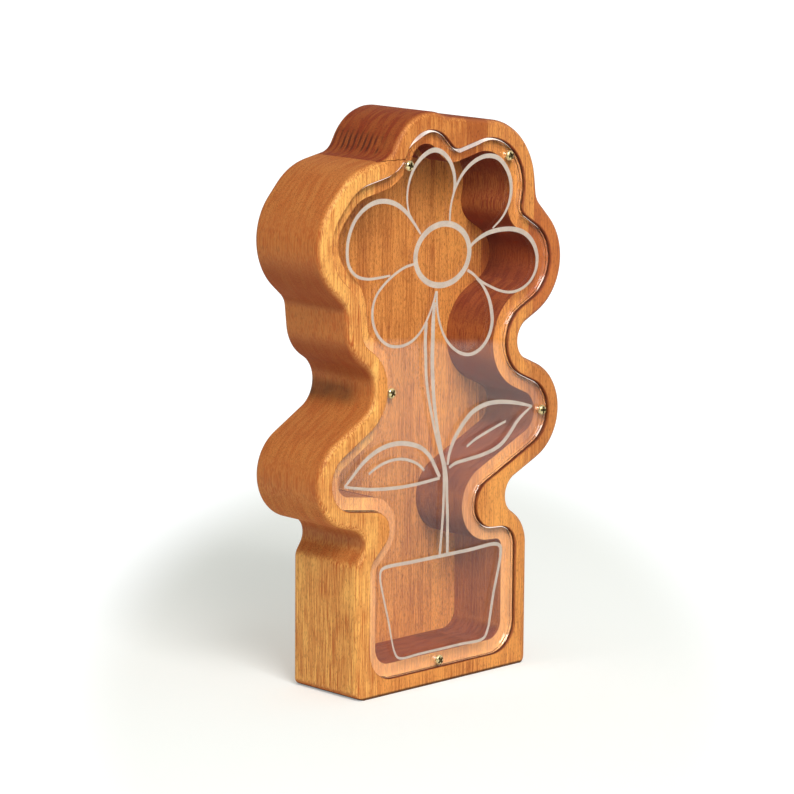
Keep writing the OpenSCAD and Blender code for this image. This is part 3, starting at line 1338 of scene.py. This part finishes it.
# The daisy in its pot: a ring, six petals, two stem lines, two veined leaves and the pot.
STROKES: tuple[Stroke, ...] = (
    Stroke("ring", (
        (14.4, 183.5), (12.3, 189.9), (6.5, 194.6), (-1.4, 196.4), (-9.3, 194.6), (-15.1, 189.9),
        (-17.3, 183.5), (-15.1, 177), (-9.3, 172.3), (-1.4, 170.6), (6.5, 172.3), (12.3, 177)),
        (2.51, 2.51), closed=True),
    Stroke("petal_top_left", (
        (-19.3, 200.1), (-20.9, 202.2), (-22.3, 208.2), (-21.5, 214.7), (-18.3, 221.2),
        (-13, 225.8), (-7, 227.7), (-1.9, 226.2), (2.6, 222), (5, 216.6), (5.4, 212.4),
        (4.8, 209.6)),
        (0.86, 0.86, 0.93, 1.15, 1.58, 1.93, 2.11, 2.01, 1.86, 1.79, 1.65, 1.07)),
    Stroke("petal_top_right", (
        (2.7, 197), (2.7, 200.4), (3.7, 205.5), (5.9, 211), (10.9, 217.3), (17.6, 221.4),
        (24.5, 222.8), (31, 221.4), (35.9, 217), (38.7, 211.5), (39.1, 205.9), (37.5, 200.7),
        (33.8, 195.8), (28.2, 191.8)),
        (0.93, 1, 1.07, 1.29, 1.58, 1.79, 1.93, 2.01, 2.01, 1.93, 1.72, 1.36, 1.07, 0.79)),
    Stroke("petal_right", (
        (14.4, 184.7), (16.4, 186.4), (21.3, 188.8), (26.8, 190.3), (34.2, 190.8), (41.6, 190.1),
        (48.1, 187.7), (53, 183.3), (55.5, 177.7), (55.1, 172.1), (52, 167.3), (46.7, 164.3),
        (40.2, 163.3), (33.3, 164.6), (26.8, 167.3), (21.3, 170.1), (16.6, 173.6), (13.4, 175.4)),
        (1.07, 1.43, 1.79, 1.93, 2.01, 2.08, 2.08, 2.01, 1.72, 1.43, 1.29, 1.22, 1.15, 1.07, 1.07,
         1.15, 1.29)),
    Stroke("petal_low_right", (
        (18.7, 171.4), (22.6, 168), (26.3, 162.4), (28.2, 156.4), (28.5, 150.9), (26.3, 145.3),
        (22.2, 141.3), (16.6, 139.3), (10.6, 140.2), (4.6, 143.7), (-0, 149), (-3, 155.5),
        (-4.4, 162), (-4.6, 168.4)),
        (0.79, 1.22, 1.65, 1.93, 1.93, 1.79, 1.65, 1.58, 1.43, 1.29, 1.15, 1.07, 1.07, 1.07)),
    Stroke("petal_low_left", (
        (-17.8, 181.1), (-23.2, 180.3), (-29.2, 177.9), (-34.8, 174.5), (-39.4, 170.3),
        (-41.6, 165.2), (-41.4, 159.2), (-38.4, 153.2), (-32.9, 148.8), (-25.9, 147.4),
        (-19, 148.8), (-13.4, 152.7), (-9.3, 158.3), (-6.3, 164.3), (-5, 168.4)),
        (1.07, 1.15, 1.15, 1.15, 1.22, 1.29, 1.36, 1.36, 1.29, 1.29, 1.22, 1.15, 1.07, 1.07,
         1.07)),
    Stroke("petal_left", (
        (-14.3, 193.3), (-18.3, 198.3), (-23.6, 203.8), (-30.1, 207.6), (-38, 209),
        (-45.2, 207.3), (-51.4, 202.9), (-55, 196.7), (-56.2, 190.2), (-55.1, 183.7),
        (-50.9, 179.4), (-44.5, 177.5), (-37.5, 177.4), (-31.7, 177.7)),
        (0.93, 1.29, 1.72, 2.01, 2.08, 1.93, 1.79, 1.72, 1.65, 1.5, 1.29, 1.15, 1.07, 0.79)),
    Stroke("stem_left", (
        (-10.7, 155.9), (-11.1, 148.1), (-10.8, 141.6), (-10.4, 133.3), (-9.3, 125.9),
        (-7.6, 118.5), (-5.6, 111.1), (-3.3, 103.7), (-0.9, 97.2), (0.4, 92.5), (0.7, 87),
        (0.6, 81.2), (0.1, 70.8), (-1.4, 55.4)),
        (1.79, 1.79, 1.72, 1.65, 1.58, 1.43, 1.36, 1.36, 1.43, 1.43, 1.43, 1.43, 1.43, 1.43)),
    Stroke("stem_right", (
        (-5.8, 163.8), (-6.5, 157.4), (-6.7, 148.1), (-6.9, 140.7), (-6.5, 131.4), (-5.8, 123.1),
        (-4.3, 113.8), (-2.4, 105.5), (-0.5, 98.1), (1.3, 92.5), (2.2, 87), (2.4, 81.2),
        (3, 70.8), (3.1, 55.4)),
        (1.58, 2.01, 2.15, 2.15, 2.08, 1.93, 1.79, 1.65, 1.65, 1.72, 1.72, 1.72, 1.65, 1.58)),
    Stroke("left_leaf_top", (
        (-57, 92.3), (-52.8, 95.8), (-47.3, 100.4), (-40.8, 104.1), (-33.3, 106.2),
        (-25.9, 106.5), (-19.5, 105.3), (-13, 102.8), (-7.9, 98.6), (-4.6, 93.5), (-1.9, 88.8)),
        (1.07, 1.43, 1.72, 1.93, 2.08, 2.08, 2.01, 1.86, 1.79, 1.72, 1.65)),
    Stroke("left_leaf_low", (
        (-57, 92.3), (-50, 90.7), (-40.8, 89), (-30.6, 88), (-21.3, 87.6), (-12.1, 87.8),
        (-1.9, 88.4)),
        (1.07, 1.29, 1.43, 1.5, 1.43, 1.36, 1.29)),
    Stroke("left_leaf_vein", (
        (-43.3, 95.8), (-38.9, 97.9), (-32.4, 99.6), (-25.9, 99.8), (-20.4, 98.6), (-14.8, 96.1),
        (-11.1, 93)),
        (1.07, 1.18, 1.25, 1.25, 1.22, 1.18, 1.07)),
    Stroke("right_leaf_top", (
        (2.7, 93.5), (3.7, 98.1), (6.4, 103.7), (11.1, 109.2), (16.6, 113.8), (23.1, 116.2),
        (30.5, 116.8), (38.8, 115.9), (46.3, 114.3), (53.7, 112.2)),
        (1.43, 1.72, 2.01, 2.15, 2.15, 2.08, 1.93, 1.79, 1.58, 1.07)),
    Stroke("right_leaf_low", (
        (53.7, 112.2), (48.1, 109.2), (44.4, 106.5), (39.8, 101.8), (35.1, 98.1), (29.6, 96.1),
        (22.2, 94.8), (13.8, 94.1), (7.4, 93.5), (3.7, 92.1)),
        (0.86, 1.43, 1.72, 1.86, 1.86, 1.72, 1.58, 1.5, 1.43, 1.22)),
    Stroke("right_leaf_vein", (
        (37.7, 107.7), (31.4, 106), (25, 104.1), (19.4, 102.3), (14.1, 99.8)),
        (1.07, 1.15, 1.22, 1.22, 1.07)),
    Stroke("pot", (
        (-33.7, 54.6), (-17.4, 54.6), (-0.8, 54.6), (15.9, 54.6), (33, 54.6), (35.3, 52.9),
        (35.3, 48.7), (31.3, 32.9), (27.8, 17.1), (25.5, 14.2), (11.7, 14), (-12.4, 14),
        (-24.9, 14.2), (-27.4, 16.7), (-31.6, 32.1), (-35.5, 46.2), (-36.4, 50.8), (-35.8, 53.7)),
        (1.5, 1.56, 1.56, 1.56, 1.62, 1.62, 1.56, 1.5, 1.38, 1.26, 1.14, 1.08, 1.02, 0.9, 0.96,
         1.08, 1.26, 1.44), closed=True),
)


@dataclass
class Engraving:
    """The line drawing on the front of the clear panel."""
    board: Board
    height: float = 0.05
    fine: int = 6
    roundness: int = 3

    def line(self, stroke: Stroke) -> bpy.types.Object:
        """Makes one line as a low ridge, from a flat path with its width at each point.

        Args:
            stroke: The line.

        Returns:
            The ridge, on the panel's face.
        """
        deselect_all()
        bpy.ops.curve.primitive_bezier_curve_add()
        obj = bpy.context.object
        obj.name = "engraved_" + stroke.name
        curve = obj.data
        curve.dimensions = "2D"
        curve.fill_mode = "NONE"
        curve.splines.clear()
        drawn = stroke.drawn(self.fine)
        spline = curve.splines.new("POLY")
        spline.points.add(len(drawn) - 1)
        spline.use_cyclic_u = stroke.closed
        for point, (x, z, half) in zip(spline.points, drawn):
            point.co = (x * MM, z * MM, 0.0, 1.0)
            point.radius = half
        curve.bevel_depth = MM
        curve.bevel_resolution = self.roundness
        curve.use_fill_caps = True
        pick(obj)
        bpy.ops.object.convert(target="MESH")
        bpy.ops.object.mode_set(mode="EDIT")
        bpy.ops.mesh.select_all(action="SELECT")
        bpy.ops.mesh.remove_doubles(threshold=1e-6)
        bpy.ops.mesh.normals_make_consistent(inside=False)
        bpy.ops.object.mode_set(mode="OBJECT")
        flat = self.height / (max(stroke.widths) * MM)
        for vertex in obj.data.vertices:
            x, z, lift = vertex.co
            vertex.co = (x, self.board.panel_y * MM - lift * flat * MM, z)
        return obj

    def build(self) -> None:
        """Draws every line, as one piece."""
        lines = [self.line(stroke) for stroke in STROKES]
        pick(lines[0])
        for obj in lines[1:]:
            obj.select_set(True)
        bpy.ops.object.join()
        drawn = bpy.context.object
        drawn.name = drawn.data.name = "engraved_daisy"
        soften(drawn, 60)
        dress(drawn, Frost().material(), "panel")
        log.info("%s: %d faces", drawn.name, len(drawn.data.polygons))


# ---------------------------------------------------------------------------------------------
# Screws
# ---------------------------------------------------------------------------------------------

class Screw(Enum):
    """The five screws: CAD node and how far the cross is turned, in degrees."""
    TOP_LEFT = ("screw_top_left", 20)
    TOP_RIGHT = ("screw_top_right", 68)
    MID_LEFT = ("screw_mid_left", 35)
    MID_RIGHT = ("screw_mid_right", 5)
    BOTTOM = ("screw_bottom", 50)

    @property
    def node(self) -> str:
        """The CAD node that the screw stands for."""
        return self.value[0]

    @property
    def turn(self) -> float:
        """The cross's turn in degrees."""
        return self.value[1]


@dataclass
class WoodScrew:
    """A small brass wood screw with a raised cross-recess head, along +Y, in mm."""
    board: Board
    head_r: float = 2.2
    head_h: float = 1.5
    rim_h: float = 0.32
    rim_ease: float = 0.1
    dome_power: float = 0.55
    shank_r: float = 1.24
    core_r: float = 0.92
    length: float = 12.0
    point_h: float = 2.4
    thread_from: float = 3.2
    pitch: float = 1.05
    thread_half: float = 0.26
    turns: int = 7
    steps_per_turn: int = 24
    sides: int = 40
    recess_top: Point = (1.7, 0.5)
    recess_bottom: Point = (1.35, 0.32)
    recess_d: float = 1.0
    over: float = 0.2

    def body(self) -> bpy.types.Object:
        """Turns head, neck and core from one profile.

        Returns:
            The screw without its recess and thread.
        """
        crown = self.head_h - self.rim_h
        dome = [(crown * (1 - math.cos(math.radians(a))) - self.head_h,
                 self.head_r * math.sin(math.radians(a)) ** self.dome_power)
                for a in (2, 14, 28, 42, 56, 70, 82)]
        neck = [(-self.rim_h, self.head_r), (-0.12, self.head_r),
                (0.0, self.head_r - self.rim_ease), (0.02, self.shank_r)]
        shank = [(self.thread_from - 0.3, self.shank_r), (self.thread_from, self.core_r),
                 (self.length - self.point_h, self.core_r),
                 (self.length - 0.9, self.core_r * 0.55), (self.length, 0.06)]
        return turned("screw", dome + neck + shank, (0.0, 0.0), 0.0, self.sides)

    def thread(self) -> bpy.types.Object:
        """A helical ridge that fades out towards the point.

        Returns:
            The ridge, which overlaps the core.
        """
        rings = []
        total = self.turns * self.steps_per_turn
        for i in range(total + 1):
            angle = 2 * math.pi * i / self.steps_per_turn
            y = self.thread_from + self.pitch * i / self.steps_per_turn
            left = (total - i) / self.steps_per_turn
            core = self.core_r * min(1.0, 0.45 + 0.28 * left)
            rise = min(1.0, 0.15 + i / self.steps_per_turn, 0.1 + left / 1.5)
            tip = core + (self.shank_r - self.core_r) * rise
            root = core - 0.12
            section = ((-self.thread_half, root), (-0.03, tip), (0.03, tip),
                       (self.thread_half, root))
            rings.append([Vector((radius * math.cos(angle), y + depth,
                                  radius * math.sin(angle))) * MM for depth, radius in section])
        return skin("thread", rings)

    def recess_cutter(self, turn: float) -> bpy.types.Object:
        """One arm of the tapered cross recess.

        Args:
            turn: The arm's direction in degrees.

        Returns:
            The cutter.
        """
        c, s = math.cos(math.radians(turn)), math.sin(math.radians(turn))
        rings = []
        for depth, (half_l, half_w) in ((-self.head_h - self.over, self.recess_top),
                                        (-self.head_h + self.recess_d, self.recess_bottom)):
            corners = ((-half_l, -half_w), (half_l, -half_w), (half_l, half_w), (-half_l, half_w))
            rings.append([Vector((x * c - z * s, depth, x * s + z * c)) * MM for x, z in corners])
        return skin("cutter", rings)

    def model(self) -> bpy.types.Object:
        """The finished screw at the origin."""
        screw = self.body()
        for turn in (0, 90):
            carve(screw, self.recess_cutter(turn))
        thread = self.thread()
        pick(screw)
        thread.select_set(True)
        bpy.ops.object.join()
        return screw

    def build(self) -> None:
        """Copies the screw to its five places, each turned its own way."""
        first = self.model()
        material = Brass().material()
        for screw, (x, z) in zip(Screw, self.board.screw_places()):
            piece = twin(first, screw.node + "_brass")
            place = Vector((x, self.board.panel_y, z)) * MM
            piece.data.transform(Matrix.Translation(place)
                                 @ Matrix.Rotation(math.radians(screw.turn), 4, "Y"))
            soften(piece, 35)
            dress(piece, material, screw.node + "_body")
            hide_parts(screw.node)
            log.info("%s: %d faces", piece.name, len(piece.data.polygons))
        bpy.data.objects.remove(first, do_unlink=True)


# ---------------------------------------------------------------------------------------------
# Studio
# ---------------------------------------------------------------------------------------------

@dataclass
class Studio:
    """Floor, lamp, surroundings and camera."""
    board: Board
    lens: float = 171.61
    sensor: float = 36.0
    azimuth: float = 44.23
    pitch: float = 10.57
    roll: float = 0.42
    corner_from_camera: Place = (-16.66, 127.24, 1576.5)
    key_place: Place = (-0.628, -1.473, 1.416)
    key_size: float = 0.9
    key_power: float = 33.0
    key_colour: Colour = (1.0, 0.985, 0.955)
    aim: Place = (0.0, 0.0, 0.12)
    ambient: float = 0.50
    ambient_colour: Colour = (0.97, 0.98, 0.87)
    bright_side: Place = (0.70, 0.71, 0.0)
    room_gloss: float = 0.12
    ceiling_gloss: float = 1.3
    floor_size: float = 12.0
    floor_colour: Colour = (0.965, 0.990, 1.0)
    glow_colour: Colour = (0.975, 0.995, 0.995)
    glow: float = 1.2
    gloom_colour: Colour = (0.5, 0.45, 0.4)
    table_r: float = 0.865
    table_fade: float = 0.02
    table_gloss: float = 0.6
    spread_aside: float = 1.7
    spread_beyond: float = 0.55

    def camera(self) -> None:
        """Sets a long lens at the front left, a little above the box."""
        a, p, r = (math.radians(v) for v in (self.azimuth, self.pitch, self.roll))
        forward = Vector((math.sin(a) * math.cos(p), math.cos(a) * math.cos(p), -math.sin(p)))
        level = Vector((math.cos(a), -math.sin(a), 0))
        over = level.cross(forward)
        right = math.cos(r) * level + math.sin(r) * over
        up = -math.sin(r) * level + math.cos(r) * over
        corner = Vector((-self.board.pot_w / 2, self.board.front_y, 0))
        across, down, ahead = self.corner_from_camera
        place = (corner - across * right + down * up - ahead * forward) * MM
        data = bpy.data.cameras.new("camera")
        data.sensor_width, data.lens = self.sensor, self.lens
        data.clip_start, data.clip_end = 0.05, 50.0
        camera = bpy.data.objects.new("camera", data)
        bpy.context.collection.objects.link(camera)
        turn = Matrix((right, up, -forward)).transposed().to_4x4()
        camera.matrix_world = Matrix.Translation(place) @ turn
        bpy.context.scene.camera = camera

    def key_lamp(self) -> None:
        """Hangs a square soft lamp, aimed at the middle of the box."""
        data = bpy.data.lights.new("key", "AREA")
        data.shape, data.size = "SQUARE", self.key_size
        data.energy, data.color = self.key_power, self.key_colour
        lamp = bpy.data.objects.new("key", data)
        lamp.location = self.key_place
        aim = Vector(self.aim) - Vector(self.key_place)
        lamp.rotation_euler = aim.to_track_quat("-Z", "Y").to_euler()
        bpy.context.collection.objects.link(lamp)

    def surroundings(self) -> None:
        """Puts up a white room that lights evenly and shows white behind the box."""
        world = bpy.data.worlds.new("white_room")
        bpy.context.scene.world = world
        world.use_nodes = True
        world.node_tree.nodes.clear()
        w = Wiring(world.node_tree)
        path = w.node("LightPath").outputs
        heading = w.node("TexCoord").outputs["Generated"]
        behind = w.span(w.dot(heading, self.bright_side), -0.1, 0.5, self.room_gloss, 1.0)
        ceiling = w.span(w.axes(heading)[2], 0.5, 0.8, 0.0, self.ceiling_gloss)
        glossy = w.times(path["Is Glossy Ray"], w.math("MAXIMUM", behind, ceiling))
        seen = w.math("MAXIMUM", path["Is Camera Ray"],
                      w.math("MAXIMUM", glossy, path["Is Transmission Ray"]))
        ambient = w.times(self.ambient, w.math("SUBTRACT", 1.0, path["Is Glossy Ray"]))
        lighting = w.node("Background", {"Color": self.ambient_colour, "Strength": ambient})
        backdrop = w.node("Background", {"Color": WHITE, "Strength": 1.0})
        out = w.node("OutputWorld")
        w.put(w.join(seen, lighting, backdrop).outputs[0], out.inputs["Surface"])

    def floor_glow(self, w: Wiring, place: bpy.types.NodeSocket,
                   path: bpy.types.bpy_prop_collection) -> bpy.types.NodeSocket:
        """How far the floor gives way to the white behind it, as it is seen directly. Near the box
        a share of this glow is painted light that lifts the box's cast shadow.

        Args:
            w: The floor's wiring.
            place: The place on the floor.
            path: The Light Path node's outputs.

        Returns:
            The share of the glow.
        """
        a = math.radians(self.azimuth)
        aside = w.dot(place, (self.spread_aside * math.cos(a),
                              -self.spread_aside * math.sin(a), 0))
        beyond = w.dot(place, (self.spread_beyond * math.sin(a),
                               self.spread_beyond * math.cos(a), 0))
        spread = w.math("SQRT", w.math("MULTIPLY_ADD", aside, aside, w.times(beyond, beyond)))
        seen = w.math("MAXIMUM", path["Is Camera Ray"], path["Is Transmission Ray"])
        # Painted light: near the box a share of the glow lifts the cast shadow, fading it sooner
        # aside than beyond.
        return w.times(w.span(spread, 0.19, 0.31, 0.22, 1.0), seen)

    def floor_gloom(self, w: Wiring, place: bpy.types.NodeSocket,
                    path: bpy.types.bpy_prop_collection) -> bpy.types.NodeSocket:
        """How far gloss sees the floor painted dark: a painted reflection, fully beyond the table
        and in part close to the box.

        Args:
            w: The floor's wiring.
            place: The place on the floor.
            path: The Light Path node's outputs.

        Returns:
            The share of the gloom. It is none where the floor is seen straight through the
            clear panel.
        """
        away = w.node("VectorMath", {0: place}, operation="LENGTH").outputs["Value"]
        table = w.span(away, self.table_r - self.table_fade, self.table_r + self.table_fade,
                       1.0, 0.0)
        # Painted reflection: close to the box gloss sees part of the floor painted dark.
        shine = w.times(table, w.span(away, 0.12, 0.60, self.table_gloss, 1.0))
        bounces = w.math("ADD", path["Glossy Depth"], path["Diffuse Depth"])
        through = w.times(path["Is Transmission Ray"], w.math("LESS_THAN", bounces, 0.5))
        mirrored = w.times(path["Is Glossy Ray"], w.math("SUBTRACT", 1.0, through))
        return w.times(mirrored, w.math("SUBTRACT", 1.0, shine))

    def floor(self) -> None:
        """Lays a pale table that fades into the white behind it."""
        deselect_all()
        bpy.ops.mesh.primitive_plane_add(size=self.floor_size, location=(0, 0, 0))
        floor = bpy.context.object
        floor.name = "floor"
        material, w, shader = new_material("pale_floor")
        shader.inputs["Base Color"].default_value = (*self.floor_colour, 1.0)
        shader.inputs["Roughness"].default_value = 0.9
        shader.inputs["Specular IOR Level"].default_value = 0.1
        place = w.node("TexCoord").outputs["Object"]
        path = w.node("LightPath").outputs
        glow = w.node("Emission", {"Color": self.glow_colour, "Strength": self.glow})
        gloom = w.node("Emission", {"Color": self.gloom_colour, "Strength": self.room_gloss})
        # Painted light: the glow also lifts the box's cast shadow near the box.
        pale = w.join(self.floor_glow(w, place, path), shader, glow)
        # Painted reflection: gloss sees the floor painted dark beyond the table.
        whole = w.join(self.floor_gloom(w, place, path), pale, gloom)
        w.put(whole.outputs[0], material.node_tree.nodes["Material Output"].inputs["Surface"])
        floor.data.materials.append(material)

    def build(self) -> None:
        """Sets up the room."""
        self.surroundings()
        self.floor()
        self.key_lamp()
        self.camera()
        bpy.context.scene.view_settings.view_transform = "Standard"
        log.info("studio set up")


def main() -> None:
    """Builds the money box piece by piece, then the studio round it."""
    board = Board()
    Case(board).build()
    ClearPanel(board).build()
    Engraving(board).build()
    WoodScrew(board).build()
    Studio(board).build()


if __name__ == "__main__":
    main()
